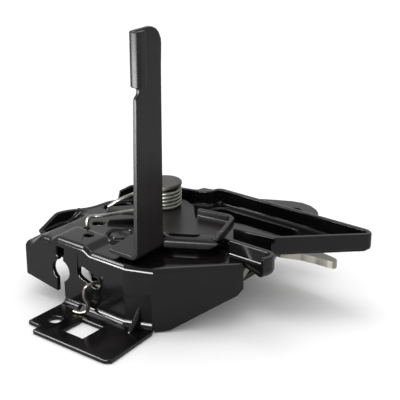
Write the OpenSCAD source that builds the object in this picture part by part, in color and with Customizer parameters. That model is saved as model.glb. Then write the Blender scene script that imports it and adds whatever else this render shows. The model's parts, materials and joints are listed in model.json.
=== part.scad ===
// Bonnet latch: stamped base plate with a striker mouth, safety lever on a spring-loaded rivet,
// catch and release pawl between the base plate and a back plate.
// The origin is the middle of the square hole in the mounting tab, on the tab's underside.
// X runs along the striker slot towards its mouth, Z up from the tab.

/* [Sheet] */
// Base plate sheet thickness
sheet = 2.4; // [1.8:0.1:2.8]
// Height of the base plate's top face above the tab's underside
floor_z = 34; // [30:0.5:38]
// Height of the turned-up lips above the base plate
lip_rise = 8; // [5:0.5:10]
// Reach of the mouth's tip from the square hole, along X
mouth_reach = 95; // [90:0.5:104]
// Reach of the far lip from the square hole, along Y
far_reach = 106.1; // [104:0.1:114]
// Reach of the low shelf from the square hole, against X
shelf_reach = 58; // [56:0.5:66]

/* [Tab] */
// Tab length along X
tab_length = 58; // [52:1:64]
// Distance from the square hole to the tab's outer edge
tab_reach = 15.8; // [13:0.2:20]
// Square hole along X
tab_hole_x = 13.5; // [10:0.5:14]
// Square hole along Y
tab_hole_y = 14; // [10:0.5:14]
// Locating hole diameter
locating_d = 7; // [5:0.5:8]

/* [Striker slot] */
// Slot width at its inner end
slot_width = 9.6; // [9:0.2:11]
// Middle of the slot at its inner end, from the square hole
slot_y = 62; // [60:0.5:63]

/* [Safety lever] */
// Lever sheet thickness
lever_sheet = 2.3; // [1.8:0.1:2.6]
// Height of the handle's top above the tab's underside
handle_top = 146.5; // [120:0.5:160]
// Handle width
handle_width = 19.6; // [16:0.2:22]
// Lever pivot radius
lever_pin_r = 5; // [4:0.1:5.5]
// Disc head diameter of the lever rivet
disc_d = 17.6; // [16:0.2:20]
// Rise of the hook's floor at its near edge
hook_rise = 2.8; // [1.6:0.2:3.6]
// Wire diameter of the lever spring
lever_wire = 1.9; // [1.6:0.1:2.2]

/* [Catch and pawl] */
// Thickness of the catch and the pawl
catch_sheet = 4; // [3:0.2:4.4]
// Radius of the catch's round body
catch_r = 20; // [18:0.5:21]
// Pivot radius of the catch and the pawl
pin_r = 5; // [4:0.1:5.5]
// Running clearance between pins and holes, on the radius
running = 0.05; // [0.02:0.01:0.08]

/* [Back plate] */
// Back plate sheet thickness
back_sheet = 2.5; // [2:0.1:3]
// Reach of the far ear from the back plate's wall
ear_reach = 23; // [21:0.5:30]
// Bolt hole diameter in the far ear
ear_hole_d = 8.4; // [6:0.2:9]

/* [Hidden] */
$fn = 48;
floor_under = floor_z - sheet;
tab_left = -26.4;
tab_right = tab_left + tab_length;
flange_y = 15.2;
flange_mid = flange_y + sheet / 2;
lever_x = -11.1;
lever_y = 76.2;
handle_x = 18.3;
catch_x = 14;
catch_y = 73;
pawl_x = -9.7;
pawl_y = 39.6;
// Spacer rivets between the two plates, and the small places that two pieces share
spacer_far = [-22, 86];
spacer_near = [9, 31];
leg_hole = [-30, 36.7];
spring_eye = [-4.6, 31];
cable_x = -28.4;
shelf_drop = 6;
pad_rise = 2.2;
pad_top = floor_z + pad_rise;
lever_z = pad_top + 0.4;
lever_wall_top = lever_z + 6.9;
spring_z = lever_z + lever_sheet + 0.3;
// The coil's legs leave it at these angles, four turns apart and a little more
coil_from = -42;
coil_to = 165 + 360 * 4;
lever_pitch = lever_wire + 0.06;
coil_top = spring_z + lever_wire * 1.1 + (coil_to - coil_from) / 360 * lever_pitch;
disc_z = coil_top + 0.3;
disc_t = 1.8;
far_wall = far_reach + 3.9;
catch_z = 18.5;
catch_top = catch_z + catch_sheet;
back_z = 13.5;
back_top = back_z + back_sheet;
neck_r = 4;
slot_near = slot_y - slot_width / 2;
slot_far = slot_y + slot_width / 2;
// Middle lines of the turned-up lips: slot, nose, mouth and far edge, then the near prong
far_lip = [[39.5, slot_far + sheet / 2], [60.4, 71.1], [62.8, 71], [mouth_reach, far_reach - 2.7],
    [mouth_reach - 0.4, far_reach - 0.8], [mouth_reach - 2.4, far_reach], [1.6, far_reach],
    [0.6, far_reach - 5.5], [-1, far_reach - 7.1], [-8.2, 95.9], [-30.2, 90.4], [-45.6, 71]];
near_lip = [[46, slot_near - sheet / 2], [70.8, slot_near - sheet / 2], [72.8, slot_near - 2.4], [73.3, 52.6],
    [71.4, 48.2]];
// Start and lean of the hook's near edge, lean of its side, then the middle line of the wall round it
hook_near = [20.2, 39.4];
hook_lean = 30;
hook_side = 109.2;
hook_wall = [[38.8, 50.2], [40.6, 51.4], [40.9, 52.9], [33.4, 74.4], [31.6, 76.4], [29, 77], [12.4, 74]];
hook_top = lever_z + lever_sheet + hook_rise;

// Wall of even width along a run of points, round at each point.
module run(points, width) {
    thin = 0.02;
    offset(delta = thin / 2) {
        for (i = [0 : len(points) - 2]) {
            step = points[i + 1] - points[i];
            translate(points[i]) rotate(atan2(step[1], step[0]))
                translate([0, -(width - thin) / 2]) square([norm(step), width - thin]);
        }
        for (p = points) translate(p) circle(d = width - thin, $fn = 24);
    }
}

// Round wire swept along a path, one ring of points at each step.
module wire(path, d, lean) {
    sides = 8;
    last = len(path) - 1;
    rings = [for (i = [0 : last])
        let (along = path[min(i + 1, last)] - path[max(i - 1, 0)],
            across = unit(cross(lean, along)),
            over = unit(cross(along, across)))
        for (k = [0 : sides - 1])
            path[i] + d / 2 * (across * cos(360 * k / sides) + over * sin(360 * k / sides))];
    skin = [for (i = [0 : last - 1], k = [0 : sides - 1])
        let (a = i * sides + k, b = i * sides + (k + 1) % sides)
        each [[a, a + sides, b], [b, a + sides, b + sides]]];
    ends = [[for (k = [0 : sides - 1]) k], [for (k = [sides - 1 : -1 : 0]) last * sides + k]];
    polyhedron(rings, concat(skin, ends));
}

function unit(v) = v / norm(v);
// Turns of wire about Z from one angle to another, rising by the pitch each turn.
function helix(middle, r, from, to, pitch) = [for (a = [from : sign(to - from) * 18 : to])
    middle + [r * cos(a), r * sin(a), abs(a - from) / 360 * pitch]];
function polar(r, a) = [r * cos(a), r * sin(a)];

// The floor runs to the middle of each wall and lip round it.
module floor_outline() {
    polygon(concat([[5.8 - shelf_reach, flange_mid], [14, flange_mid], [27, 21.8], [57, 51.6], [66, 48]],
        [for (i = [len(near_lip) - 1 : -1 : 0]) near_lip[i]],
        [[44, slot_near], [28, slot_near], [25, slot_near + 3], [25, slot_far - 3], [28, slot_far],
            [37.5, slot_far]],
        far_lip, [[7.9 - shelf_reach, 50.6], [-shelf_reach, 42], [-shelf_reach, 33]]));
}

// Long section of the floor: low shelf at the left, ramp, flat.
module floor_section() {
    polygon([[-70, floor_under - shelf_drop], [-50.5, floor_under - shelf_drop], [-41, floor_under],
        [100, floor_under], [100, floor_z], [-41.6, floor_z], [-51.1, floor_z - shelf_drop],
        [-70, floor_z - shelf_drop]]);
}

module floor_sheet() {
    intersection() {
        translate([0, 0, floor_z - 20]) linear_extrude(30) floor_outline();
        translate([0, 150, 0]) rotate([90, 0, 0]) linear_extrude(150) floor_section();
    }
}

// Raised pad beside the lever's foot, with sloping sides.
module pad(drop, side) {
    low = floor_z - drop;
    intersection() {
        translate([0, 60, 0]) rotate([90, 0, 0]) linear_extrude(60 - flange_mid)
            polygon([[-35 + side, low - 1], [-9 - side, low - 1], [-9 - side, low],
                [-12 - side, low + pad_rise], [-32 + side, low + pad_rise], [-35 + side, low]]);
        translate([-50, 0, 0]) rotate([90, 0, 90]) linear_extrude(60)
            polygon([[0, low - 1], [35 - side, low - 1], [35 - side, low], [32 - side, low + pad_rise],
                [0, low + pad_rise]]);
    }
}

// Upright wall round the near side: side flange, corner and slanting front wall.
module skirt() {
    difference() {
        translate([0, 0, 0.4]) linear_extrude(pad_top - 0.4) polygon([[4.6 - shelf_reach, flange_y],
            [14, flange_y], [27.5, 20.3], [58.1, 50.8], [56.4, 52.5], [26.4, 22.5], [13.6, flange_y + sheet],
            [4.6 - shelf_reach, flange_y + sheet]]);
        // top edge, stepping round the pad
        translate([0, 60, 0]) rotate([90, 0, 0]) linear_extrude(60)
            polygon([[-70, floor_z - shelf_drop], [-51, floor_z - shelf_drop], [-41.6, floor_z],
                [-35, floor_z], [-32, pad_top], [-12, pad_top], [-9, floor_z], [70, floor_z], [70, 60],
                [-70, 60]]);
        // lower edge left of the cable notch
        translate([0, 60, 0]) rotate([90, 0, 0]) linear_extrude(60)
            polygon([[-70, -1], [-26.4, -1], [-26.4, 3], [-31, 6.5], [-52, 10], [-53.6, 13], [-70, 13]]);
        // rising lower edge of the front wall
        translate([27.5, 20.3, 0]) rotate(45) rotate([90, 0, 0]) linear_extrude(20, center = true)
            polygon([[6, -1], [7, 0], [40, 17], [42.4, 18.2], [43.4, 21], [60, 21], [60, -1]]);
        // cable notch: window, neck, round seat and open bottom
        translate([cable_x, 0, 0]) rotate([90, 0, 0]) linear_extrude(60, center = true) {
            translate([0, floor_z - 5]) square([5.2, 5], center = true);
            translate([0, floor_z - 10]) square([3, 12], center = true);
            translate([0, 19]) circle(5.6);
            translate([-2.8, 0]) square([4.6, 18]);
        }
        // spring eye
        rotate([90, 0, 0]) linear_extrude(60, center = true) {
            translate([-13.2, 21.8]) circle(2.8);
            translate([-5.2, 19.2]) circle(3.6);
            translate([-13.2, 21.8]) rotate(-18) translate([0, -2.5]) square([8.4, 5]);
        }
    }
}

module tab() {
    difference() {
        linear_extrude(sheet) polygon([[tab_left, -10.3], [-18.4, -10.3], [-17.4, -tab_reach],
            [tab_right - 5, -tab_reach], [tab_right, -tab_reach + 5], [tab_right, 18], [28.4, 21.5],
            [25, 20.6], [14, flange_mid], [tab_left, flange_mid]]);
        translate([-tab_hole_x / 2, -tab_hole_y / 2, -1]) cube([tab_hole_x, tab_hole_y, 10]);
        translate([-16.6, -1.3, -1]) cylinder(d = locating_d, h = 10);
        // half-round relief for the spring's hook in the bend
        translate([-12.5, flange_y, -1]) cylinder(r = 3.4, h = 10);
    }
}

module gusset() {
    translate([20.5, flange_y + 2, sheet - 0.5]) rotate([90, 0, -90]) linear_extrude(2.4, center = true)
        polygon([[0, 0], [9, 0], [0, 12]]);
}

module lips() {
    translate([0, 0, floor_under]) linear_extrude(lip_rise + sheet) run(far_lip, sheet);
    translate([0, 0, floor_under]) linear_extrude(lip_rise + sheet) run(near_lip, sheet);
}

module pocket(grow, low, high) {
    translate([0, 0, low]) linear_extrude(high - low) {
        translate([8, far_reach - 11.1]) circle(6.2 + grow);
        translate([52, far_reach - 11.1]) circle(6.2 + grow);
        translate([8, far_reach - 17.3 - grow]) square([44, 12.4 + 2 * grow]);
    }
}

module base_plate() color("#1d1c1d") {
    difference() {
        union() {
            floor_sheet();
            pad(0, 0);
            skirt();
            tab();
            gusset();
            pocket(sheet, floor_z - 9.4, floor_z - 0.5);
            lips();
        }
        pad(sheet, 1);
        pocket(0, floor_z - 7, floor_z + 1);
        // rivet holes
        for (p = [[lever_x, lever_y], [catch_x, catch_y], [pawl_x, pawl_y], spacer_far, spacer_near])
            translate([p[0], p[1], 20]) cylinder(r = neck_r, h = 20);
        // small holes seen from above
        translate([-19.8, 27.2, 20]) cylinder(d = 4.5, h = 20);
        translate([leg_hole[0], leg_hole[1], 20]) cylinder(d = lever_wire + 0.8, h = 20);
        translate([-29, 47, 20]) rotate(53) translate([-2.6, -2.4, 0]) cube([5.2, 4.8, 20]);
        translate([-38, 68, 20]) rotate(57) translate([-7, -4, 0]) cube([14, 8, 20]);
    }
}

module back_plate() color("#242324") {
    widen = ear_reach / 23;
    difference() {
        union() {
            translate([0, 0, back_z]) linear_extrude(back_sheet)
                polygon([[-24, 30], [-16, 24], [16, 24], [22, 28], [44, 62], [44, 96],
                    [38, far_wall + back_sheet], [-24, far_wall + back_sheet], [-32, 96], [-32, 76],
                    [-22, 60]]);
            translate([-20, far_wall, back_z]) cube([58, back_sheet, floor_z - back_z]);
            // ear, bent out from the far wall
            translate([0, far_wall, floor_z - back_sheet]) linear_extrude(back_sheet) scale([1, widen])
                polygon([[-20, 0], [38, 0], [48, 5], [52.2, 8.6], [53.4, 12], [52.2, 15.6], [48.6, 19.2],
                    [43.4, 22], [37.6, 23], [31, 21.4], [20, 15.8], [15, 13], [5.6, 12.8], [-18, 7.8]]);
        }
        for (p = [[catch_x, catch_y], [pawl_x, pawl_y], spacer_far, spacer_near])
            translate([p[0], p[1], 0]) cylinder(r = neck_r, h = 30);
        translate([40, far_wall + 11, 0]) cylinder(d = ear_hole_d, h = 40);
    }
}

module lever_outline() {
    polygon(concat([[2.5, 17.8], [handle_x + lever_sheet / 2, 17.8], hook_near], hook_wall, [[2, 84],
        [-6, 88], [-14, 88.8], [-21, 84], [-23.6, 76], [-22, 68], [-33, 56.5], [-31, 52.5], [-16, 60],
        [-1, 42]]));
}

// Near edge of the hook: the floor ramps up to it and the edge is turned down again.
module hook_edge() {
    half = lever_sheet / 2 - 0.06;
    edge_z = lever_z + 0.2;
    difference() {
        translate(hook_near) rotate(hook_lean) rotate([90, 0, 90]) translate([0, 0, -1]) linear_extrude(24)
            polygon([[-half, edge_z], [-half, hook_top], [5, hook_top], [12.6, lever_z + lever_sheet - 0.3],
                [12.6, lever_z + 0.4], [5, hook_top - lever_sheet], [half, hook_top - lever_sheet],
                [half, edge_z]]);
        // stays inside the side wall
        translate([hook_wall[2][0], hook_wall[2][1], lever_z - 1]) rotate(hook_side) translate([0.5, -9.8, 0])
            cube([30, 10, 10]);
    }
}

module safety_lever() color("#262425") {
    foot_y = 17.4;
    tab_z = handle_top - 31;
    difference() {
        union() {
            difference() {
                translate([0, 0, lever_z]) linear_extrude(lever_sheet) lever_outline();
                translate([hook_near[0], hook_near[1], lever_z - 1]) rotate(hook_lean) translate([1.5, -4, 0])
                    cube([19, 15.6, lever_sheet + 2]);
            }
            hook_edge();
            // turned-up wall round the hook
            translate([0, 0, lever_z + 0.3]) linear_extrude(lever_wall_top - lever_z - 0.3)
                run(hook_wall, lever_sheet);
            // handle blade
            translate([handle_x, 0, 0]) rotate([90, 0, 90]) linear_extrude(lever_sheet)
                polygon([[foot_y, lever_z + 0.3], [foot_y + handle_width + 1.4, lever_z + 0.3],
                    [foot_y + handle_width + 0.4, handle_top - 8],
                    [foot_y + handle_width - 2, handle_top - 2.4],
                    [foot_y + handle_width - 7.6, handle_top], [19.2, handle_top], [19.2, tab_z],
                    [21.6, tab_z - 2], [21.6, tab_z - 4.4], [19.2, tab_z - 7]]);
            // finger tab folded from the blade's edge
            translate([handle_x + 0.2, 16.5, tab_z + 0.6]) linear_extrude(30)
                polygon([[0, 0], [8.8, 0], [8.8, lever_sheet], [1.9, lever_sheet], [1.9, 4], [0, 4]]);
        }
        translate([lever_x, lever_y, lever_z - 1]) cylinder(r = lever_pin_r + running, h = 10);
        // long hole in the hook's floor
        translate([hook_near[0], hook_near[1], lever_z - 1]) rotate(hook_lean) translate([3.4, 5.4, 0])
            linear_extrude(lever_sheet + hook_rise + 2) {
                circle(3.4);
                translate([8.8, 0]) circle(3.4);
                translate([0, -3.4]) square([8.8, 6.8]);
            }
    }
}

module lever_rivet() color("#4a4a49")
    translate([lever_x, lever_y, 0]) rotate_extrude() polygon([[0, floor_under - 2], [6.4, floor_under - 2],
        [6.9, floor_under - 0.6], [6.9, floor_under], [neck_r, floor_under], [neck_r, floor_z],
        [lever_pin_r, floor_z], [lever_pin_r, disc_z], [disc_d / 2 - 0.4, disc_z], [disc_d / 2, disc_z + 0.4],
        [disc_d / 2, disc_z + disc_t - 0.4], [disc_d / 2 - 0.4, disc_z + disc_t], [0, disc_z + disc_t]]);

module lever_washer() color("#8d8b84")
    translate([lever_x, lever_y, floor_z]) difference() {
        cylinder(r = 9, h = lever_z - floor_z - 0.3);
        translate([0, 0, -1]) cylinder(r = lever_pin_r + running, h = 10);
    }

module safety_spring() color("#a3a29a") {
    mean_r = disc_d / 2 - lever_wire / 2 - 0.1;
    low = spring_z + lever_wire / 2;
    turns = helix([lever_x, lever_y, low], mean_r, coil_from, coil_to, lever_pitch);
    high = turns[len(turns) - 1][2];
    // leg up out of the base plate's hole, coil, then the leg over the lever's arm
    wire(concat([[leg_hole[0], leg_hole[1], floor_under - 1.6], [leg_hole[0], leg_hole[1] + 0.1, floor_z + 2],
        [-29.9, 37.2, low - 1.4], [-29.4, 38.2, low - 0.3],
        [-28, 40.2, low], [-24.7, 43.8, low], [-16.7, 58.5, low]], turns,
        [[-20.1, 63.3, high - 1.6], [-24.3, 56.1, high - 4], [-28.5, 53.2, low + 1.6],
            [-29.6, 52.6, low + 0.6]]),
        lever_wire, [0.55, -0.2, 0.8]);
}

module catch() color("#a9a69a") {
    translate([catch_x, catch_y, catch_z]) difference() {
        linear_extrude(catch_sheet) difference() {
            union() {
                circle(catch_r, $fn = 96);
                polygon([polar(12, 290), polar(17, 312), polar(37, 330), polar(39, 335), polar(38.5, 340),
                    polar(33, 353), polar(30.5, 5), polar(30.5, 20), polar(30.5, 33), polar(33, 37),
                    polar(38, 37), polar(41.5, 33), polar(46, 31.8), polar(52, 30.4), polar(60, 27),
                    polar(66, 24.4), polar(68.6, 23.8), polar(70.2, 24.4), polar(70.6, 25.6),
                    polar(69.8, 27), polar(67.6, 28.8), polar(62, 33), polar(52, 42), polar(40, 56),
                    polar(27, 78), polar(19.5, 100), [0, 0]]);
            }
            // drop behind the land the pawl rides on
            difference() {
                polygon([[0, 0], polar(40, 235), polar(40, 257), polar(40, 280)]);
                circle(catch_r - 3.5);
            }
        }
        translate([0, 0, -1]) cylinder(r = pin_r + running, h = 10);
    }
}

// Stepped rivet that carries a turning plate between the two sheets.
module stepped_rivet(upper_r) rotate_extrude() polygon([[0, back_z - 1.8], [6.4, back_z - 1.8],
    [6.8, back_z - 1.2], [6.8, back_z], [neck_r, back_z], [neck_r, back_top], [8, back_top],
    [8, catch_z - 0.3], [pin_r, catch_z - 0.3], [pin_r, catch_top + 0.3], [upper_r, catch_top + 0.3],
    [upper_r, floor_under], [neck_r, floor_under], [neck_r, floor_z], [5.5, floor_z], [5.5, floor_z + 0.8],
    [4.9, floor_z + 1.4], [0, floor_z + 1.4]]);

module spacer_rivet() rotate_extrude() polygon([[0, back_z - 1.8], [6, back_z - 1.8], [6.4, back_z - 1.2],
    [6.4, back_z], [neck_r, back_z], [neck_r, back_top], [5, back_top], [5, floor_under],
    [neck_r, floor_under], [neck_r, floor_z], [5.5, floor_z], [5.5, floor_z + 0.8], [4.9, floor_z + 1.4],
    [0, floor_z + 1.4]]);

module catch_rivet() color("#77756f") translate([catch_x, catch_y, 0]) stepped_rivet(6.2);

module catch_spring() color("#a3a29a") {
    coil_r = 7.9;
    coils = 3;
    pitch = 1.95;
    low = catch_top + 1.4;
    high = low + coils * pitch;
    turns = helix([catch_x, catch_y, low], coil_r, 90, 90 + 360 * coils, pitch);
    wire(concat([[catch_x + 17, catch_y + 8.4, low], [catch_x + 6, catch_y + 8.1, low]], turns,
        [[catch_x - 6, catch_y + 8.1, high], [catch_x - 17, catch_y + 8.6, high]]), 1.8, [0, 0, 1]);
}

module pawl() color("#a9a69a") {
    nose = polar(catch_r + 0.35, 200);
    catch_at = [catch_x, catch_y];
    pawl_at = [pawl_x, pawl_y];
    translate([0, 0, catch_z]) difference() {
        linear_extrude(catch_sheet) difference() {
            // nose, round the pivot to the spring arm, then the cable arm
            polygon([catch_at + nose + [-5, 1], catch_at + nose + [3, 1], catch_at + nose + [3, -3],
                pawl_at + [9, 6], pawl_at + [9.6, -1], pawl_at + [8.6, -6], [-0.4, 29.4], [-2.4, 27.4],
                [-6.6, 27.4], pawl_at + [0, -9.6], pawl_at + [-6, -9], [-25.6, 24.4], [-29.4, 23.6],
                [-32.4, 25.6], [-32.4, 29.5], [-28.4, 32.5], pawl_at + [-9, 3], [pawl_x - 7.5, 58]]);
            translate([catch_x, catch_y]) circle(catch_r + 0.35, $fn = 96);
        }
        translate([pawl_x, pawl_y, -1]) cylinder(r = pin_r + running, h = 10);
        translate([-28.8, 27.4, -1]) cylinder(d = 4, h = 10);
        translate([spring_eye[0], spring_eye[1], -1]) cylinder(d = 3.4, h = 10);
    }
}

module pawl_rivet() color("#77756f") translate([pawl_x, pawl_y, 0]) stepped_rivet(7.2);

module pawl_spring() color("#a3a29a") {
    mid = catch_z + catch_sheet / 2;
    eye_x = spring_eye[0];
    eye_y = spring_eye[1];
    first_y = 18.9;
    coil_r = 3.2;
    coils = 3.5;
    pitch = 2.05;
    turns = [for (p = helix([0, 0, 0], coil_r, -90, -90 + 360 * coils, pitch))
        [eye_x + p[0], first_y + p[2], mid + p[1]]];
    // hook from the tab's relief round to the flange's eye, coil, then over and down through the pawl's eye
    wire(concat([[-12.8, 13.8, 0.6], [-11.6, 13.7, 2.6], [-9.2, 12.9, 4], [-6.8, 11.4, 6], [-6.2, 10, 9.3],
        [-7.1, 9.4, 12.7], [-6.7, 9.4, 17], [-5.6, 10.1, 19.2], [-4.6, 12.5, 19.6],
        [-4.8, 16.4, 18.8]], turns,
        [[eye_x, eye_y - 2.6, mid + 3.6], [eye_x, eye_y - 0.8, mid + 3.9], [eye_x, eye_y, mid + 3.2],
            [eye_x, eye_y, mid - 3.2]]),
        1.9, [0.75, 0.6, -0.28]);
}

module spacer_rivet_far() color("#5c5b58") translate(spacer_far) spacer_rivet();

module spacer_rivet_near() color("#5c5b58") translate(spacer_near) spacer_rivet();

base_plate();
back_plate();
safety_lever();
lever_rivet();
lever_washer();
safety_spring();
catch();
catch_rivet();
catch_spring();
pawl();
pawl_rivet();
pawl_spring();
spacer_rivet_far();
spacer_rivet_near();
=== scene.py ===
import json
import math
import bpy
from mathutils import Matrix, Vector
from mathutils.bvhtree import BVHTree

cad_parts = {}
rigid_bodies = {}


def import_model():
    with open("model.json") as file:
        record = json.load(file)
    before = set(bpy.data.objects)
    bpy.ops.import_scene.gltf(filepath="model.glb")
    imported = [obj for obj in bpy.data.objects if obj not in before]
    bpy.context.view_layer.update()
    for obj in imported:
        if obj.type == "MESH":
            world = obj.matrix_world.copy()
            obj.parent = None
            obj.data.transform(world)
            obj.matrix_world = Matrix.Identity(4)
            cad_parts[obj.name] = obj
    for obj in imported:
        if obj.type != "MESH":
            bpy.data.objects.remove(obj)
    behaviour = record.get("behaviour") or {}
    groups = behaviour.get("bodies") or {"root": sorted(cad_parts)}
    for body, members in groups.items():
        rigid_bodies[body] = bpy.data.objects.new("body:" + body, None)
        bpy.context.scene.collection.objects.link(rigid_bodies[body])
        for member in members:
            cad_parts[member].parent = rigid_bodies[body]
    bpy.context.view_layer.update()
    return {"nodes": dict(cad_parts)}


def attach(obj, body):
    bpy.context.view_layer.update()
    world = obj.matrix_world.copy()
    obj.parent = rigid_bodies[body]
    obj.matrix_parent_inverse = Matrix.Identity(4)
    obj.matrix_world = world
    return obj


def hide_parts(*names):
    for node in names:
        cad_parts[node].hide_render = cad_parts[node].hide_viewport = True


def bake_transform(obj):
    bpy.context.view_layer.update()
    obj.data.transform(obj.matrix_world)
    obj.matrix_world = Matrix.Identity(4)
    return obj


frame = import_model()
print("frame loaded:", sorted(frame["nodes"]))

# lengths are in millimetres until a piece is finished
mm = 0.001
sliver = 0.03
weld = 0.02
hair = 0.1
leverPivot = (-11.1, 76.2)
catchPivot = (14, 73)
pawlPivot = (-9.7, 39.6)
farSpacer = (-22, 86)
nearSpacer = (9, 31)


# small helpers

def deselectAll():
    if bpy.context.mode != "OBJECT":
        bpy.ops.object.mode_set(mode="OBJECT")
    bpy.ops.object.select_all(action="DESELECT")


def pick(piece):
    deselectAll()
    piece.select_set(True)
    bpy.context.view_layer.objects.active = piece


def placed(name, data):
    piece = bpy.data.objects.new(name, data)
    bpy.context.scene.collection.objects.link(piece)
    return piece


def edited(piece, *steps):
    # runs each step on the whole mesh in edit mode
    pick(piece)
    bpy.ops.object.mode_set(mode="EDIT")
    for step in steps:
        bpy.ops.mesh.select_all(action="SELECT")
        step()
    bpy.ops.object.mode_set(mode="OBJECT")


def normalsOut():
    bpy.ops.mesh.normals_make_consistent(inside=False)


def weldPoints():
    bpy.ops.mesh.remove_doubles(threshold=weld)


def closeSlivers():
    bpy.ops.mesh.remove_doubles(threshold=sliver)
    bpy.ops.mesh.dissolve_degenerate(threshold=sliver)


def applyModifier(piece, kind, **settings):
    pick(piece)
    change = piece.modifiers.new("change", kind)
    for name, value in settings.items():
        setattr(change, name, value)
    bpy.ops.object.modifier_apply(modifier="change")


def smoothBelow(degrees):
    bpy.ops.object.shade_smooth_by_angle(angle=math.radians(degrees))


def dress(piece, material):
    piece.data.materials.clear()
    piece.data.materials.append(material)


# lines and sheets

lineRules = {"mitre": 0.5, "sweeps": 12, "endShare": 0.9, "midShare": 0.48}


def offsetLine(points, distance):
    # moves an open line sideways, to the left of its direction
    moved = []
    for i, p in enumerate(points):
        before = (p - points[i - 1]).normalized() if i > 0 else None
        after = (points[i + 1] - p).normalized() if i < len(points) - 1 else None
        a = before or after
        b = after or before
        normal = Vector((-a.y - b.y, a.x + b.x)).normalized()
        stretch = max(lineRules["mitre"], normal.dot(Vector((-a.y, a.x))))
        moved.append(p + normal * distance / stretch)
    # a bend tighter than the move turns its steps round: those close up to one point
    for sweep in range(lineRules["sweeps"]):
        for i in range(len(points) - 1):
            if (moved[i + 1] - moved[i]).dot(points[i + 1] - points[i]) < 0:
                moved[i] = moved[i + 1] = (moved[i] + moved[i + 1]) / 2
    return moved


def roundLine(points, radii, steps=5):
    # rounds the inner corners of an open line
    line = [Vector(points[0])]
    last = len(points) - 1
    for i in range(1, last):
        here = Vector(points[i])
        back = Vector(points[i - 1]) - here
        ahead = Vector(points[i + 1]) - here
        radius = radii.get(i, 0)
        if radius == 0:
            line.append(here)
            continue
        half = back.angle(ahead) / 2
        backShare = lineRules["endShare" if i == 1 else "midShare"]
        aheadShare = lineRules["endShare" if i == last - 1 else "midShare"]
        reach = min(radius / math.tan(half), back.length * backShare, ahead.length * aheadShare)
        start = here + back.normalized() * reach
        end = here + ahead.normalized() * reach
        for k in range(steps + 1):
            t = k / steps
            line.append(start.lerp(here, t).lerp(here.lerp(end, t), t))
    line.append(Vector(points[-1]))
    return line


def quarter(steps=8):
    # the angles of a quarter turn
    return [math.pi / 2 * k / steps for k in range(steps + 1)]


def ease(t):
    t = min(1, max(0, t))
    return t * t * (3 - 2 * t)


def raised(line, height):
    return [Vector((p.x, p.y, height)) for p in line]


def bendRows(line, profile):
    # copies of a line, each moved inwards and to its height
    return [raised(offsetLine(line, inward), height) for inward, height in profile]


def strip(rows):
    # quads between rows of points of equal length
    count = len(rows[0])
    points = [p for row in rows for p in row]
    faces = [(r * count + i, r * count + i + 1, (r + 1) * count + i + 1, (r + 1) * count + i)
             for r in range(len(rows) - 1) for i in range(count - 1)]
    return points, faces


def meshPiece(name, parts):
    # joins lists of points and faces into one piece
    points, faces = [], []
    for partPoints, partFaces in parts:
        start = len(points)
        points += [tuple(p) for p in partPoints]
        faces += [tuple(start + i for i in face) for face in partFaces]
    mesh = bpy.data.meshes.new(name)
    mesh.from_pydata(points, [], faces)
    return placed(name, mesh)


def filledLoops(name, loops):
    # flat sheet between an outer loop and the loops of its holes
    points, edges = [], []
    for loop in loops:
        start = len(points)
        apart = [p for i, p in enumerate(loop) if (p - loop[i - 1]).length > sliver]
        points += [tuple(p) for p in apart]
        edges += [(start + i, start + (i + 1) % len(apart)) for i in range(len(apart))]
    mesh = bpy.data.meshes.new(name)
    mesh.from_pydata(points, edges, [])
    piece = placed(name, mesh)
    edited(piece, lambda: bpy.ops.mesh.fill(use_beauty=True))
    return piece


def joined(name, pieces):
    pick(pieces[0])
    for piece in pieces:
        piece.select_set(True)
    bpy.ops.object.join()
    piece = bpy.context.view_layer.objects.active
    piece.name = name
    edited(piece, weldPoints, normalsOut)
    return piece


def bisected(piece, cuts):
    # splits the faces along planes, each a place and a direction
    pick(piece)
    bpy.ops.object.mode_set(mode="EDIT")
    for place, normal in cuts:
        bpy.ops.mesh.select_all(action="SELECT")
        bpy.ops.mesh.bisect(plane_co=place, plane_no=normal)
    bpy.ops.object.mode_set(mode="OBJECT")


def faceUp(piece, probe):
    # makes the sheet's faces point up at the probe, where its top is
    nearest = min(piece.data.polygons, key=lambda f: (f.center - Vector(probe)).length)
    if nearest.normal.z < 0:
        edited(piece, bpy.ops.mesh.flip_normals)


def thicken(piece, thickness):
    # the sheet grows downwards from its modelled top
    applyModifier(piece, "SOLIDIFY", thickness=thickness, offset=-1, use_quality_normals=True)


def prism(outline, along, low, high):
    # closed solid: an outline in two axes, run along the third
    order = {"x": (1, 2, 0), "y": (0, 2, 1), "z": (0, 1, 2)}[along]
    rings = []
    for level in (low, high):
        for p in outline:
            point = [0, 0, 0]
            for axis, value in zip(order, (p[0], p[1], level)):
                point[axis] = value
            rings.append(point)
    n = len(outline)
    sides = [(i, (i + 1) % n, n + (i + 1) % n, n + i) for i in range(n)]
    return rings, sides + [tuple(range(n - 1, -1, -1)), tuple(range(n, 2 * n))]


def circleOutline(x, y, r, n=28):
    turns = [2 * math.pi * i / n for i in range(n)]
    return [(x + r * math.cos(t), y + r * math.sin(t)) for t in turns]


def longHole(a, b, r, n=12):
    # outline of a long hole with round ends
    turn = math.atan2(b[1] - a[1], b[0] - a[0])
    ends = [(b, turn - math.pi / 2), (a, turn + math.pi / 2)]
    return [(c[0] + r * math.cos(start + math.pi * i / n), c[1] + r * math.sin(start + math.pi * i / n))
            for c, start in ends for i in range(n + 1)]


def cutOut(piece, cutters):
    for cutter in cutters:
        tool = meshPiece("cutter", [cutter])
        edited(tool, normalsOut)
        applyModifier(piece, "BOOLEAN", operation="DIFFERENCE", solver="EXACT", object=tool)
        bpy.data.objects.remove(tool)


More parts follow.
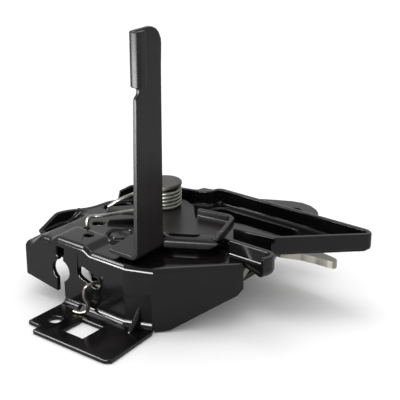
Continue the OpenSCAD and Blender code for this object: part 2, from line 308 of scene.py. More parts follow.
def turnOutward(piece):
    # a closed piece with its faces turned inwards has a negative volume
    piece.data.calc_loop_triangles()
    triangles = [[piece.data.vertices[i].co for i in t.vertices] for t in piece.data.loop_triangles]
    if sum(a.dot(b.cross(c)) for a, b, c in triangles) < 0:
        edited(piece, bpy.ops.mesh.flip_normals)


sheetRules = {"segments": 3, "sharper": 50, "stray": 0.55, "holeSides": 8, "smooth": 32}


def finishSheet(piece, edge):
    # rounds the sheared edges, smooths the bends and goes to metres
    edited(piece, closeSlivers)
    sharp = BVHTree.FromPolygons([v.co.copy() for v in piece.data.vertices],
                                 [tuple(f.vertices) for f in piece.data.polygons])
    applyModifier(piece, "BEVEL", width=edge, segments=sheetRules["segments"], limit_method="ANGLE",
                  angle_limit=math.radians(sheetRules["sharper"]), use_clamp_overlap=False)
    # where a corner is too tight for the bevel, its points go back to the sharp sheet
    for v in piece.data.vertices:
        hit = sharp.find_nearest(v.co)
        if hit[3] > edge * sheetRules["stray"]:
            v.co = hit[0]
        v.co.z = max(v.co.z, 0)
    # slivers and small holes left by the cuts and the bevel close up
    edited(piece, closeSlivers, lambda: bpy.ops.mesh.fill_holes(sides=sheetRules["holeSides"]), normalsOut)
    turnOutward(piece)
    piece.data.transform(Matrix.Scale(mm, 4))
    smoothBelow(sheetRules["smooth"])
    # the flats keep flat reflections right up to their rounded edges
    applyModifier(piece, "WEIGHTED_NORMAL", keep_sharp=True)


# wires

wireRules = {"rounding": 4, "smooth": 50}


def wirePiece(name, points, thickness):
    line = bpy.data.curves.new(name, "CURVE")
    line.dimensions = "3D"
    line.bevel_depth = thickness / 2 * mm
    line.bevel_resolution = wireRules["rounding"]
    line.use_fill_caps = True
    spline = line.splines.new("POLY")
    spline.points.add(len(points) - 1)
    for target, p in zip(spline.points, points):
        target.co = (p[0] * mm, p[1] * mm, p[2] * mm, 1)
    pick(placed(name, line))
    bpy.ops.object.convert(target="MESH")
    smoothBelow(wireRules["smooth"])
    return bpy.context.view_layer.objects.active


def smoothPath(points, steps=8):
    # curve through the points, for the bent legs of a spring
    pts = [Vector(p) for p in points]
    path = []
    for i in range(len(pts) - 1):
        a, b, c, d = pts[max(i - 1, 0)], pts[i], pts[i + 1], pts[min(i + 2, len(pts) - 1)]
        for k in range(steps):
            t = k / steps
            path.append(0.5 * (2 * b + (c - a) * t + (2 * a - 5 * b + 4 * c - d) * t * t
                               + (3 * b - a - 3 * c + d) * t ** 3))
    path.append(pts[-1])
    return path


# materials

def linear(hexColour):
    # sRGB to linear
    channels = [int(hexColour[i:i + 2], 16) / 255 for i in (1, 3, 5)]
    return tuple(c / 12.92 if c <= 0.04045 else ((c + 0.055) / 1.055) ** 2.4 for c in channels) + (1.0,)


def addNode(tree, kind, settings=None, links=None):
    node = tree.nodes.new(kind)
    for name, value in (settings or {}).items():
        node.inputs[name].default_value = value
    for name, source in (links or {}).items():
        tree.links.new(source, node.inputs[name])
    return node


# black with a faint orange peel, and fine dust that dulls it in places
electrocoat = {"patch": 14, "detail": 6.0, "patchRough": 0.65, "ramp": (0.35, 0.75),
               "grain": 2.2, "grainDetail": 2.0, "bump": 0.05, "bumpDepth": 0.2, "metal": 0.0}
# grey metal with a soft, slightly mottled sheen
plating = {"detail": 5.0, "patchRough": 0.6, "ramp": (0.3, 0.7), "level": 0.5,
           "grain": 0.6, "grainDetail": 2.0, "bump": 0.08, "bumpDepth": 0.05, "metal": 0.85}


def madeFinish(name, kind, **own):
    # patches steer colour and gloss, a finer grain gives the bump
    look = {**kind, **own}
    material = bpy.data.materials.new(name)
    material.use_nodes = True
    tree = material.node_tree
    shader = tree.nodes["Principled BSDF"]
    place = addNode(tree, "ShaderNodeTexCoord").outputs["Object"]
    patches = addNode(tree, "ShaderNodeTexNoise",
                      {"Scale": 1 / (look["patch"] * mm), "Detail": look["detail"],
                       "Roughness": look["patchRough"]}, {"Vector": place})
    grain = addNode(tree, "ShaderNodeTexNoise",
                    {"Scale": 1 / (look["grain"] * mm), "Detail": look["grainDetail"]}, {"Vector": place})
    tone = addNode(tree, "ShaderNodeValToRGB", None, {"Fac": patches.outputs["Fac"]})
    colours = (look["dark"], look["pale"])
    for stop, position, colour in zip(tone.color_ramp.elements, look["ramp"], colours):
        stop.position = position
        stop.color = linear(colour)
    gloss = addNode(tree, "ShaderNodeMapRange",
                    {"To Min": look["rough"][0], "To Max": look["rough"][1]},
                    {"Value": patches.outputs["Fac"]})
    bump = addNode(tree, "ShaderNodeBump",
                   {"Strength": look["bump"], "Distance": look["bumpDepth"] * mm},
                   {"Height": grain.outputs["Fac"]})
    tree.links.new(tone.outputs["Color"], shader.inputs["Base Color"])
    tree.links.new(gloss.outputs["Result"], shader.inputs["Roughness"])
    tree.links.new(bump.outputs["Normal"], shader.inputs["Normal"])
    shader.inputs["Metallic"].default_value = look["metal"]
    shader.inputs["Specular IOR Level"].default_value = look["level"]
    return material


# glossy on the plate, so that its bends flash; satin on the lever, which looks evenly dark grey
blackCoat = madeFinish("glossBlackCoat", electrocoat, dark="#0a0909", pale="#141112",
                       rough=(0.08, 0.2), level=0.22)
satinCoat = madeFinish("satinBlackCoat", electrocoat, dark="#1b1919", pale="#232020",
                       rough=(0.26, 0.38), level=0.14)
springZinc = madeFinish("zincFlakeSpringWire", plating, dark="#5f5f5a", pale="#82827c",
                        rough=(0.32, 0.46), patch=5)
plateZinc = madeFinish("dullZincPlate", plating, dark="#6c6a62", pale="#8e8b82",
                       rough=(0.4, 0.54), patch=9)
rivetSteel = madeFinish("darkPlatedRivet", plating, dark="#3d3c39", pale="#565551",
                        rough=(0.42, 0.56), patch=6)
oiledWire = madeFinish("oiledSpringSteel", plating, dark="#4a4642", pale="#67635d",
                       rough=(0.26, 0.4), patch=5)
print("materials made")


# base plate

plate = {
    "sheet": 2.4, "top": 34.0, "lipTop": 42.0, "bendIn": 1.5, "bendOut": 3.0, "edge": 0.55,
    # flange along the near side, then the slanting front wall from its turn
    "flange": [(-53.4, 15.2), (-40, 15.2), (-26.4, 15.2), (0, 15.2), (14, 15.2), (27.5, 20.3),
               (58.1, 50.8)],
    "flangeCorners": {4: 7, 5: 7}, "flangeStep": 3, "turn": (27.5, 20.3),
    # lower edges: the front wall's foot climbs and ends in a curve, the flange's climbs to the left
    "frontLow": 0.5, "frontHigh": 17.1, "frontClimb": (7, 39.5), "frontEnd": (3.75, 4),
    "leftLow": 6.5, "leftFrom": -31, "leftRun": 22.4, "leftClimb": 3.5,
    # turned-up lips, and the slot between them
    "farLip": [(39.5, 68), (61.4, 71), (95.6, 103.2), (92.4, 106.1), (1.6, 106.1), (0.2, 99.4),
               (-8.2, 95.9), (-30.2, 90.4), (-38.4, 80.1), (-42.2, 75.3), (-43, 74.3), (-45.6, 71),
               (-47.4, 57), (-56.6, 46), (-56.8, 29)],
    "farCorners": {1: 5, 2: 3, 3: 5, 4: 4, 5: 4, 6: 5, 7: 8, 11: 6, 12: 24, 13: 20},
    "nearLip": [(70.8, 47.2), (74.3, 56), (46, 56)], "nearCorners": {1: 5},
    "lipSteps": 8, "lipLeast": 0.05,
    "slot": [(44, 57.2), (28, 57.2), (25, 60.2), (25, 63.8), (28, 66.8), (37.5, 66.8)],
    # the far lip's left end slants down to the low shelf's lip
    "lipEnd": (-41.6, 74.1), "slantFrom": -37, "slantLow": 0.65, "slantRun": 5,
    "shelf": (-51.4, -41.4, 6.0), "shelfSteps": 6, "shelfLip": (30, 13), "shelfFar": (46, 54),
    "shelfCuts": (46.2, 48.1, 50, 51.9, 53.6),
    "pocket": ((10.4, 95), (52, 95), 5.9), "pocketDepth": 7.0, "pocketRim": 1.2, "pocketFoot": 2,
    "pad": (-33.5, -10.5, 33.5, 2.2), "padSlope": 2.5, "padCuts": (-1, -0.6, 0, 0.6, 1),
    # pressing fades out down the flange, between these heights
    "pressFrom": 22, "pressRun": 8, "probe": (20, 40),
    "tabTop": 2.4, "tabOuter": -15.8, "tabLeft": -26.4, "tabRight": 31.6, "tabBend": 3.0, "tabSpread": 14,
}


def lowerEdge(p):
    x, y = plate["turn"]
    if p.x > x - hair and p.y > y - hair:
        along = ((p.x - x) + (p.y - y)) / math.sqrt(2)
        start, end = plate["frontClimb"]
        low, high = plate["frontLow"], plate["frontHigh"]
        if along < start:
            return low
        if along < end:
            return low + (along - start) / (end - start) * (high - low)
        run, climb = plate["frontEnd"]
        return high + ((along - end) / run) ** 2 * climb
    if p.x < plate["tabLeft"] - hair:
        return plate["leftLow"] + (plate["leftFrom"] - p.x) / plate["leftRun"] * plate["leftClimb"]
    return plate["tabTop"] + plate["tabBend"]


def shelfDrop(p):
    low, high, drop = plate["shelf"]
    near, far = plate["shelfFar"]
    return drop * ease((high - p.x) / (high - low)) * ease((far - p.y) / (far - near))


def lipHeight(p):
    # the lip round the low shelf reaches the floor's height and runs out towards its near end
    x, y = plate["lipEnd"]
    if p.y > y or p.x > x:
        least = plate["slantLow"]
        slant = min(1, least + (1 - least) * (p.y - y) / plate["slantRun"])
        return (plate["lipTop"] - plate["top"]) * (1 if p.x > plate["slantFrom"] else slant)
    start, run = plate["shelfLip"]
    return shelfDrop(p) * ease((p.y - start) / run)


def lipRows(line):
    top, bend = plate["top"], plate["bendIn"]
    rows = []
    for a in quarter():
        moved = offsetLine(line, bend * (1 - math.sin(a)))
        rows.append([Vector((q.x, q.y, top + min(bend, lipHeight(p)) * (1 - math.cos(a))))
                     for p, q in zip(line, moved)])
    rows.append([Vector((p.x, p.y, top + lipHeight(p) + plate["lipLeast"])) for p in line])
    return rows


def flangeFold():
    # the flange's line in short steps, and its rows from the floor's bend to its lower edge
    corners = roundLine(plate["flange"], plate["flangeCorners"])
    line = []
    for a, b in zip(corners, corners[1:]):
        count = max(1, int((b - a).length / plate["flangeStep"]))
        line += [a.lerp(b, k / count) for k in range(count)]
    line.append(corners[-1])
    bend = plate["bendOut"]
    rows = bendRows(line, [(bend * (1 - math.sin(a)), plate["top"] - bend * (1 - math.cos(a)))
                           for a in quarter()])
    rows.append([Vector((p.x, p.y, lowerEdge(p))) for p in line])
    return line, rows


def tabFold(line):
    # the mounting tab, bent out of the flange's foot and spread towards its right end
    turnX, spreadFrom = plate["turn"][0], plate["tabSpread"]
    foot = [p for p in line if plate["tabLeft"] - hair <= p.x <= turnX - hair]
    top, bend = plate["tabTop"], plate["tabBend"]
    rows = bendRows(foot, [(-bend * (1 - math.cos(a)), top + bend * (1 - math.sin(a))) for a in quarter()])
    spread = (plate["tabRight"] - spreadFrom) / (turnX - spreadFrom)
    outer = [p.x if p.x < spreadFrom else spreadFrom + (p.x - spreadFrom) * spread for p in foot]
    rows.append([Vector((x, plate["tabOuter"], top)) for x in outer])
    return rows


def pocketFold():
    # rows of the drawn pocket, from its rolled rim to its floor
    a, b, r = plate["pocket"]
    top, rim, foot = plate["top"], plate["pocketRim"], plate["pocketFoot"]
    low = top - plate["pocketDepth"]
    profile = [(rim * (1 - math.sin(t)), top - rim * (1 - math.cos(t))) for t in quarter()]
    profile += [(-foot * (1 - math.cos(t)), low + foot * (1 - math.sin(t))) for t in quarter()]
    return [raised([Vector(p) for p in longHole(a, b, r + grow)], height) for grow, height in profile]


def pressPlate(piece):
    # cuts along the slopes of the shelf and the pad, then the sheet is pressed to them
    left, right, far, rise = plate["pad"]
    low, high = plate["shelf"][:2]
    slope, steps = plate["padSlope"], plate["shelfSteps"]
    offsets = [slope * share for share in plate["padCuts"]]
    acrossX = [low + (high - low) * k / steps for k in range(steps + 1)]
    acrossX += [left + d for d in offsets] + [right + d for d in offsets]
    acrossY = [far + d for d in offsets] + list(plate["shelfCuts"])
    bisected(piece, [((x, 0, 0), (1, 0, 0)) for x in acrossX] + [((0, y, 0), (0, 1, 0)) for y in acrossY])
    for v in piece.data.vertices:
        share = ease((v.co.z - plate["pressFrom"]) / plate["pressRun"])
        lift = ease((v.co.x - left + slope) / (2 * slope)) * ease((right + slope - v.co.x) / (2 * slope))
        lift *= ease((far + slope - v.co.y) / (2 * slope))
        v.co.z += share * (rise * lift - shelfDrop(v.co))


def makeBasePlate():
    top, sheet, steps = plate["top"], plate["sheet"], plate["lipSteps"]
    farRows = lipRows(offsetLine(roundLine(plate["farLip"], plate["farCorners"], steps), sheet / 2))
    nearRows = lipRows(offsetLine(roundLine(plate["nearLip"], plate["nearCorners"], steps), sheet / 2))
    flangeLine, flangeRows = flangeFold()
    pocketRows = pocketFold()
    closedRows = [row + row[:1] for row in pocketRows]
    slotLine = raised([Vector(p) for p in plate["slot"]], top)
    outer = flangeRows[0] + nearRows[0] + slotLine + farRows[0]
    floor = filledLoops("basePlateFloor", [outer, pocketRows[0]])
    pocketFloor = filledLoops("pocketFloor", [pocketRows[-1]])
    folds = [farRows, nearRows, flangeRows, tabFold(flangeLine), closedRows]
    walls = meshPiece("basePlateWalls", [strip(rows) for rows in folds])
    piece = joined("basePlate", [floor, walls, pocketFloor])
    pressPlate(piece)
    faceUp(piece, (*plate["probe"], top))
    thicken(piece, sheet)
    return piece


notch = {
    "window": [(-31, 26.5), (-31, 31.5), (-25.8, 31.5), (-25.8, 26.5), (-26.9, 26.5), (-26.9, 24.4)],
    "eye": (-28.4, 19, 5.6), "eyeFrom": (74, 238), "eyeStep": 12, "eyePoints": 12,
    "mouth": [(-26.6, 13), (-26.6, 0), (-31.2, 0), (-31.2, 13)],
    "neck": [(-29.9, 24.4), (-29.9, 26.5)],
}
tabCorner = {"middle": (26.6, -10.8), "radius": 5, "outside": (34, -18)}


def notchOutline():
    # the cable notch: window, round eye and open mouth
    x, y, r = notch["eye"]
    sides = []
    for start in notch["eyeFrom"]:
        turns = [math.radians(start - notch["eyeStep"] * k) for k in range(notch["eyePoints"])]
        sides.append([(x + r * math.cos(t), y + r * math.sin(t)) for t in turns])
    return notch["window"] + sides[0] + notch["mouth"] + sides[1] + notch["neck"]


def tabCornerOutline():
    # what is taken off to round the tab's outer corner
    x, y = tabCorner["middle"]
    right, outer = tabCorner["outside"]
    r = tabCorner["radius"]
    curve = [(x + r * math.sin(t), y - r * math.cos(t)) for t in quarter()]
    return curve + [(right, y), (right, outer), (x, outer)]


# the axis a cut runs along, and from where to where
cutRuns = {"flange": ("y", 8, 24), "tab": ("z", -3, 5), "tabEdge": ("z", -3, 6), "tabBend": ("z", -3, 4),
           "floor": ("z", 28, 44), "shelf": ("z", 25, 44), "rivet": ("z", 28, 40)}
rivetHole = 4.02
plateHoles = {
    "cableNotch": (notchOutline(), "flange"),
    "springEye": (longHole((-13.2, 21.8), (-5.2, 19.2), 3.2), "flange"),
    "boltHole": ([(-6.75, -7), (6.75, -7), (6.75, 7), (-6.75, 7)], "tab"),
    "locatingHole": (circleOutline(-16.6, -1.3, 3.5), "tab"),
    "hookHole": (circleOutline(-12.5, 15.2, 3.4), "tabBend"),
    "tabNotch": ([(-30, -20), (-17.4, -20), (-18.4, -10.3), (-30, -10.3)], "tabEdge"),
    "tabCorner": (tabCornerOutline(), "tabEdge"),
    "padHole": (circleOutline(-19.8, 27.2, 2.25), "floor"),
    "legHole": (circleOutline(-30, 36.7, 1.6), "floor"),
    "shortSlot": (longHole((-30.4, 44.5), (-29.1, 45.5), 2.4), "floor"),
    "longSlot": (longHole((-39.6, 65.2), (-35.4, 72.2), 3.8), "shelf"),
    "leverRivet": (circleOutline(*leverPivot, rivetHole), "rivet"),
    "catchRivet": (circleOutline(*catchPivot, rivetHole), "rivet"),
    "pawlRivet": (circleOutline(*pawlPivot, rivetHole), "rivet"),
    "farSpacer": (circleOutline(*farSpacer, rivetHole), "rivet"),
    "nearSpacer": (circleOutline(*nearSpacer, rivetHole), "rivet"),
}

basePlate = makeBasePlate()
print("base plate folded:", len(basePlate.data.vertices))
cutOut(basePlate, [prism(outline, *cutRuns[run]) for outline, run in plateHoles.values()])
finishSheet(basePlate, plate["edge"])
dress(basePlate, blackCoat)
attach(basePlate, "frame")
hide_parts("base_plate")
print("base plate done:", len(basePlate.data.vertices))

# gusset bead pressed into the tab's bend

gusset = {"x": 20.5, "width": 2.4, "reach": 8.0, "height": 11.0, "foot": 17.4, "inset": 0.6, "base": 2.0,
          "round": 1.1, "segments": 4, "smooth": 40}


def makeGusset():
    inner = gusset["foot"] + gusset["inset"]
    outline = [(inner, gusset["base"]), (gusset["foot"] - gusset["reach"], gusset["base"]),
               (inner, gusset["base"] + gusset["height"])]
    half = gusset["width"] / 2
    piece = meshPiece("gussetBead", [prism(outline, "x", gusset["x"] - half, gusset["x"] + half)])
    edited(piece, normalsOut,
           lambda: bpy.ops.mesh.bevel(offset=gusset["round"], segments=gusset["segments"], affect="EDGES"))
    piece.data.transform(Matrix.Scale(mm, 4))
    smoothBelow(gusset["smooth"])
    return piece


gussetBead = makeGusset()
dress(gussetBead, blackCoat)
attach(gussetBead, "frame")
print("gusset done")

# tongue turned down behind the cable notch's window

tongue = {"middle": (-32, 19.9, 28), "size": (8.6, 1.8, 8.4), "corner": 2.4, "cornerSteps": 6,
          "edge": 0.4, "edgeSteps": 2, "smooth": 40}


def makeTongue():
    deselectAll()
    bpy.ops.mesh.primitive_cube_add(size=1, location=[c * mm for c in tongue["middle"]])
    piece = bpy.context.view_layer.objects.active
    piece.name = "cableTongue"
    piece.scale = [s * mm for s in tongue["size"]]
    bpy.ops.object.transform_apply(location=True, rotation=True, scale=True)
    # the two lower corners are rounded, then every edge a little
    middle = tongue["middle"][2] * mm
    bpy.ops.object.mode_set(mode="EDIT")
    bpy.ops.mesh.select_mode(type="EDGE")
    bpy.ops.mesh.select_all(action="DESELECT")
    bpy.ops.object.mode_set(mode="OBJECT")
    for e in piece.data.edges:
        a, b = (piece.data.vertices[i].co for i in e.vertices)
        e.select = abs(a.y - b.y) > mm and a.z < middle
    bpy.ops.object.mode_set(mode="EDIT")
    bpy.ops.mesh.bevel(offset=tongue["corner"] * mm, segments=tongue["cornerSteps"], affect="EDGES")
    bpy.ops.object.mode_set(mode="OBJECT")
    applyModifier(piece, "BEVEL", width=tongue["edge"] * mm, segments=tongue["edgeSteps"])
    smoothBelow(tongue["smooth"])
    return piece


cableTongue = makeTongue()
dress(cableTongue, blackCoat)
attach(cableTongue, "frame")
print("cable tongue done")

# safety lever

lever = {
    "sheet": 2.3, "top": 38.9, "wallTop": 43.5, "bend": 1.8, "edge": 0.5, "probe": (5, 50),
    # the hook's near edge: where it starts, its lean, and how the floor ramps up to it
    "near": (20.2, 39.4), "lean": 30, "rise": 2.8, "ramp": (5, 12.6), "rampSteps": 6,
    "liftRun": 3, "liftSteps": 4, "wallLeast": 0.5, "bladeClear": 1,
    "nearBend": 2.2, "nearFoot": 36.8, "nearFrom": -1.5, "nearTo": (21.6, 25.2, 20.6), "nearSteps": 8,
    "hookWall": [(41.17, 52.1), (33.2, 75.2), (29.4, 77), (12.4, 74)], "wallCorners": {1: 4, 2: 4},
    "around": [(2, 84), (-6, 88), (-14, 88.8), (-21, 84), (-23.6, 76), (-22, 68), (-33, 56.5), (-31, 52.5),
               (-16, 60), (-1, 42), (2.5, 17.6)],
    # handle: upright blade with a rounded top corner, and a notch under the finger tab
    "bladeX": 18.3, "bladeNear": 17.4, "bladeMid": 27, "bladeFar": 38.2, "bladeTopFar": 37.0,
    "handleTop": 146.5, "topRound": 8, "taperEnd": 9,
    "tabFoot": 121.4, "tabY": 16.5, "tabReach": 24.3, "tabBack": 22.6, "tabBend": 2.6,
    "tabNotch": [(21, 1), (21.6, 2.6), (21.2, 4.4), (19.4, 6), (19.2, 8)],
    "pivotHole": 5.05, "pivotRun": (30, 42), "longHole": (3.4, 12.2, 5.4, 3.4), "longRun": (30, 46),
}


def fromNear(s, d, z):
    # a place along and behind the hook's near edge
    turn = math.radians(lever["lean"])
    x, y = lever["near"]
    return Vector((x + s * math.cos(turn) - d * math.sin(turn),
                   y + s * math.sin(turn) + d * math.cos(turn), z))


def hookLift(p):
    # the hook's floor ramps up towards its near edge
    turn = math.radians(lever["lean"])
    x, y = p.x - lever["near"][0], p.y - lever["near"][1]
    s = x * math.cos(turn) + y * math.sin(turn)
    d = y * math.cos(turn) - x * math.sin(turn)
    flat, foot = lever["ramp"]
    run = lever["liftRun"]
    return lever["rise"] * ease((foot - d) / (foot - flat)) * ease((s - lever["nearFrom"] + run) / run)


def upBend(line):
    # rows of a line bent up out of the lever's floor
    top, bend = lever["top"], lever["bend"]
    return bendRows(line, [(bend * (1 - math.sin(a)), top + bend * (1 - math.cos(a))) for a in quarter()])


def nearFold():
    # the hook's near edge, turned down
    top, r, half = lever["top"], lever["nearBend"], lever["sheet"] / 2
    start, steps = lever["nearFrom"], lever["nearSteps"]
    inner, outer, low = lever["nearTo"]
    ends = [(r * (1 - math.sin(a)) - half, top - r * (1 - math.cos(a)),
             inner + (outer - inner) * math.sin(a)) for a in quarter()]
    ends.append((-half, lever["nearFoot"] - lever["rise"], low))
    return [[fromNear(start + (end - start) * k / steps, d, z) for k in range(steps + 1)]
            for d, z, end in ends]


def bladeOutline():
    # the blade in y and z, from its bend up and round to the notch under the finger tab
    high, r, farTop = lever["handleTop"], lever["topRound"], lever["bladeTopFar"]
    start = lever["top"] + lever["bend"]
    tabEdge, tabFoot = lever["tabY"] + lever["tabBend"], lever["tabFoot"]
    outline = [(lever["bladeNear"], start), (lever["bladeMid"], start), (lever["bladeFar"], start)]
    outline.append((farTop, high - lever["taperEnd"]))
    outline += [(farTop - r + r * math.cos(t), high - r + r * math.sin(t)) for t in quarter()]
    outline += [(tabEdge, high), (tabEdge, tabFoot)]
    return outline + [(y, tabFoot - below) for y, below in lever["tabNotch"]]


def tabTurns():
    # the finger tab: folded out of the blade, then back along it
    x, y, r = lever["bladeX"], lever["tabY"], lever["tabBend"]
    reach = lever["tabReach"]
    places = [(x + r * (1 - math.cos(a)), y + r - r * math.sin(a)) for a in quarter()]
    places += [(reach - r + r * math.sin(a), y + r * (1 - math.cos(a))) for a in quarter()]
    places.append((reach, lever["tabBack"]))
    return [[Vector((*place, z)) for z in (lever["tabFoot"], lever["handleTop"])] for place in places]


def pressLever(piece):
    # cuts along the ramp, then the floor is pressed up to the near edge
    top, bend, wallTop = lever["top"], lever["bend"], lever["wallTop"]
    flat, low = lever["ramp"]
    turn = math.radians(lever["lean"])
    along, across = (math.cos(turn), math.sin(turn), 0), (-math.sin(turn), math.cos(turn), 0)
    steps, ends = lever["rampSteps"], lever["liftSteps"]
    start, run = lever["nearFrom"], lever["liftRun"]
    cuts = [(fromNear(0, flat + (low - flat) * k / steps, 0), across) for k in range(steps + 1)]
    cuts += [(fromNear(start - run * k / ends, 0, 0), along) for k in range(ends + 1)]
    bisected(piece, cuts)
    for v in piece.data.vertices:
        lift = hookLift(v.co)
        if v.co.z < top + bend + hair:
            v.co.z += lift
        elif v.co.x > lever["bladeX"] + lever["bladeClear"] and v.co.z < wallTop + hair:
            v.co.z = max(v.co.z, top + bend + lift + lever["wallLeast"])


def makeLever():
    top, sheet, x = lever["top"], lever["sheet"], lever["bladeX"]
    wallLine = offsetLine(roundLine(lever["hookWall"], lever["wallCorners"]), sheet / 2)
    wallRows = upBend(wallLine) + [raised(wallLine, lever["wallTop"])]
    nearRows = nearFold()
    nearRows[0][-1] = wallRows[0][0].copy()
    bladeRows = upBend([Vector((x, lever[name])) for name in ("bladeNear", "bladeMid", "bladeFar")])
    around = [Vector((*p, top)) for p in lever["around"]]
    foot = filledLoops("leverFoot", [bladeRows[0] + nearRows[0] + wallRows[0] + around])
    outline = bladeOutline()
    blade = meshPiece("leverBlade", [([Vector((x, *p)) for p in outline], [tuple(range(len(outline)))])])
    folds = meshPiece("leverFolds", [strip(rows) for rows in (wallRows, nearRows, bladeRows, tabTurns())])
    piece = joined("safetyLever", [foot, folds, blade])
    pressLever(piece)
    faceUp(piece, (*lever["probe"], top))
    thicken(piece, sheet)
    first, last, back, r = lever["longHole"]
    slot = longHole(fromNear(first, back, 0), fromNear(last, back, 0), r)
    cutOut(piece, [prism(circleOutline(*leverPivot, lever["pivotHole"]), "z", *lever["pivotRun"]),
                   prism(slot, "z", *lever["longRun"])])
    return piece


safetyLever = makeLever()
finishSheet(safetyLever, lever["edge"])
dress(safetyLever, satinCoat)
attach(safetyLever, "lever")
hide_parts("safety_lever")
print("safety lever done:", len(safetyLever.data.vertices))

# springs

leverSpring = {
    "wire": 1.9, "radius": 7.75, "low": 40.15, "from": -42, "to": 1605, "step": 9, "pitch": 1.96,
    # legs, with heights over the lowest turn
    "lowerLeg": [(-30, 36.7, -10.15), (-30, 36.8, -4.15), (-29.9, 37.2, -1.4), (-29.4, 38.2, -0.3),
                 (-28, 40.2, 0), (-24.7, 43.8, 0), (-16.7, 58.5, 0)],
    "upperLeg": [(-20.1, 63.3, 7.367), (-24.3, 56.1, 4.967), (-28.5, 53.2, 1.6), (-29.6, 52.6, 0.6)],
    "held": (-6.5, 72.9, 45), "led": (-10.1, 75.5, 45),
}


def makeLeverSpring():
    low, r = leverSpring["low"], leverSpring["radius"]
    x, y = leverPivot
    first, last, pitch = leverSpring["from"], leverSpring["to"], leverSpring["pitch"]
    steps = (last - first) // leverSpring["step"]
    turns = []
    for k in range(steps + 1):
        angle = first + (last - first) * k / steps
        turn = math.radians(angle)
        height = low + (angle - first) / 360 * pitch
        turns.append(Vector((x + r * math.cos(turn), y + r * math.sin(turn), height)))
    lower = [(px, py, low + over) for px, py, over in leverSpring["lowerLeg"]]
    upper = [(px, py, low + over) for px, py, over in leverSpring["upperLeg"]]
    path = smoothPath(lower + [turns[0]])[:-1] + turns + smoothPath([turns[-1]] + upper)[1:]
    return wirePiece("safetySpring", path, leverSpring["wire"])


pawlSpring = {
    "wire": 1.9, "x": -4.6, "mid": 20.5, "radius": 3.2, "start": 18.9, "turns": 3.5, "pitch": 2.05,
    "perTurn": 24,
    # hook through the flange's eye with its tail on the tab, and the end on the pawl over the middle
    "hook": [(-14.1, 8.9, 3.5), (-12.4, 9.1, 3.4), (-10.2, 10, 3.4), (-7.6, 11.3, 4.8), (-6.2, 10.6, 8.6),
             (-7.1, 9.4, 12.7), (-6.7, 9.4, 17), (-5.6, 10.1, 19.2), (-4.6, 12.5, 19.6),
             (-4.8, 16.4, 18.8)],
    "end": [(28.4, 3.6), (30.2, 3.9), (31, 3.2), (31, -3.2)],
    "held": (-4.6, 19, 20.5), "led": (-4.6, 29, 20.5),
}


def makePawlSpring():
    x, mid, r = pawlSpring["x"], pawlSpring["mid"], pawlSpring["radius"]
    count = pawlSpring["perTurn"]
    turns = []
    for k in range(int(pawlSpring["turns"] * count) + 1):
        angle = -math.pi / 2 + 2 * math.pi * k / count
        y = pawlSpring["start"] + k / count * pawlSpring["pitch"]
        turns.append(Vector((x + r * math.cos(angle), y, mid + r * math.sin(angle))))
    end = [(x, y, mid + over) for y, over in pawlSpring["end"]]
    path = smoothPath(pawlSpring["hook"] + [turns[0]])[:-1] + turns + smoothPath([turns[-1]] + end)[1:]
    return wirePiece("pawlSpring", path, pawlSpring["wire"])


# each spring has one leg on the frame and the other on the piece it pulls on; here the whole spring stays
# where it was built
for piece, node, finish, mover, held, led in (
        (makeLeverSpring(), "safety_spring", springZinc, "lever", leverSpring["held"], leverSpring["led"]),
        (makePawlSpring(), "pawl_spring", oiledWire, "pawl", pawlSpring["held"], pawlSpring["led"])):
    dress(piece, finish)
    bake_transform(piece)
    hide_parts(node)
print("springs done")

# rolled rim round the pawl's rivet

rivetRim = {
    # radius and height of each ring, from outside in
    "rings": [(9.4, 33.6), (9.1, 34.4), (8.5, 35.2), (7.7, 35.6), (6.9, 35.3), (6.3, 34.6), (6.0, 33.6)],
    "sides": 64, "smooth": 60,
}


def makeRivetRim():
    x, y = [c * mm for c in pawlPivot]
    radius, level = [c * mm for c in rivetRim["rings"][0]]
    deselectAll()
    bpy.ops.mesh.primitive_circle_add(vertices=rivetRim["sides"], radius=radius, location=(x, y, level))
    piece = bpy.context.view_layer.objects.active
    piece.name = "pawlRivetRim"
    bpy.ops.object.transform_apply(location=True, rotation=True, scale=True)
    bpy.ops.object.mode_set(mode="EDIT")
    bpy.ops.mesh.select_all(action="SELECT")
    for ring in rivetRim["rings"][1:]:
        newRadius, height = [c * mm for c in ring]
        bpy.ops.mesh.extrude_region_move(TRANSFORM_OT_translate={"value": (0, 0, height - level)})
        share = newRadius / radius
        bpy.ops.transform.resize(value=(share, share, 1), center_override=(x, y, height))
        radius, level = newRadius, height
    bpy.ops.mesh.select_all(action="DESELECT")
    bpy.ops.mesh.select_non_manifold()
    bpy.ops.mesh.bridge_edge_loops()
    bpy.ops.object.mode_set(mode="OBJECT")
    edited(piece, normalsOut)
    smoothBelow(rivetRim["smooth"])
    return piece


pawlRivetRim = makeRivetRim()
dress(pawlRivetRim, blackCoat)
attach(pawlRivetRim, "frame")
print("rivet rim done")

# the pieces that keep their solids

finishes = {
    "back_plate": blackCoat, "lever_rivet": rivetSteel, "lever_washer": plateZinc, "catch": plateZinc,
    "catch_rivet": blackCoat, "catch_spring": springZinc, "pawl": plateZinc, "pawl_rivet": blackCoat,
    "spacer_rivet_far": blackCoat, "spacer_rivet_near": blackCoat,
}
for node, material in finishes.items():
    for piece in bpy.data.objects:
        if piece.type == "MESH" and piece.name.split(".")[0] == node:
            dress(piece, material)
print("solids dressed")

# studio: pale floor, white surroundings, soft light, camera at the photograph's angle

studio = {
    "floorSize": 3.0, "floor": "#f4f4f4", "floorRough": 0.9, "white": (1, 1, 1, 1),
    "lens": 99.0, "sensor": 36, "farthest": 20, "eye": (331.0, -332.2, 256.7), "aim": (-8.4, 102.2, 34.0),
    "lampAim": (0, 0.05, 0.08),
}
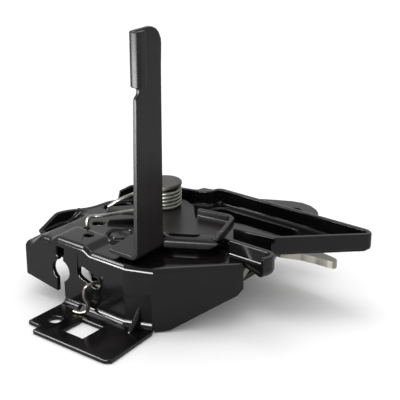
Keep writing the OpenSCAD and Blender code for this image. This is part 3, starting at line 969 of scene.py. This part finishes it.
# the overhead lamp lights everything, the other two only show in reflections
lamps = {
    "overhead": {"place": (-0.1, 0.15, 0.9), "along": (1, 0, 0), "size": (0.5, 0.5), "power": 2.5,
                 "diffuse": True},
    "leftStrip": {"place": (-0.57, -0.36, 0.63), "along": (0, -0.92, -0.38), "size": (0.42, 0.12),
                  "power": 3.8, "diffuse": False},
    "lowCard": {"place": (-0.02, -0.2, 0.05), "along": (1, 0.1, 0), "size": (0.32, 0.08), "power": 4.5,
                "diffuse": False},
}
deselectAll()
bpy.ops.mesh.primitive_plane_add(size=studio["floorSize"], location=(0, 0, 0))
floorSheet = bpy.context.view_layer.objects.active
floorSheet.name = "studioFloor"
paper = bpy.data.materials.new("paleStudioPaper")
paper.use_nodes = True
paperShader = paper.node_tree.nodes["Principled BSDF"]
paperShader.inputs["Base Color"].default_value = linear(studio["floor"])
paperShader.inputs["Roughness"].default_value = studio["floorRough"]
paperShader.inputs["Specular IOR Level"].default_value = 0
dress(floorSheet, paper)

world = bpy.data.worlds.new("studio")
world.use_nodes = True
world.node_tree.nodes["Background"].inputs["Color"].default_value = studio["white"]
bpy.context.scene.world = world


def softLamp(name, lampSet):
    # an area lamp facing the latch, its long side along the given direction
    lamp = bpy.data.lights.new(name, "AREA")
    lamp.shape = "RECTANGLE"
    lamp.size, lamp.size_y = lampSet["size"]
    lamp.energy = lampSet["power"]
    holder = placed(name, lamp)
    place = Vector(lampSet["place"])
    back = (place - Vector(studio["lampAim"])).normalized()
    along = Vector(lampSet["along"])
    along = (along - back * along.dot(back)).normalized()
    holder.location = place
    holder.rotation_euler = Matrix((along, back.cross(along), back)).transposed().to_euler()
    holder.visible_diffuse = lampSet["diffuse"]
    holder.visible_camera = False


for name, lampSet in lamps.items():
    softLamp(name, lampSet)
print("studio lit")

view = bpy.data.cameras.new("photoView")
view.lens = studio["lens"]
view.sensor_width = studio["sensor"]
view.clip_end = studio["farthest"]
camera = placed("photoView", view)
eye = Vector(studio["eye"]) * mm
camera.location = eye
camera.rotation_euler = (Vector(studio["aim"]) * mm - eye).to_track_quat("-Z", "Y").to_euler()
bpy.context.scene.camera = camera
bpy.context.scene.view_settings.view_transform = "Standard"

print("scene finished")
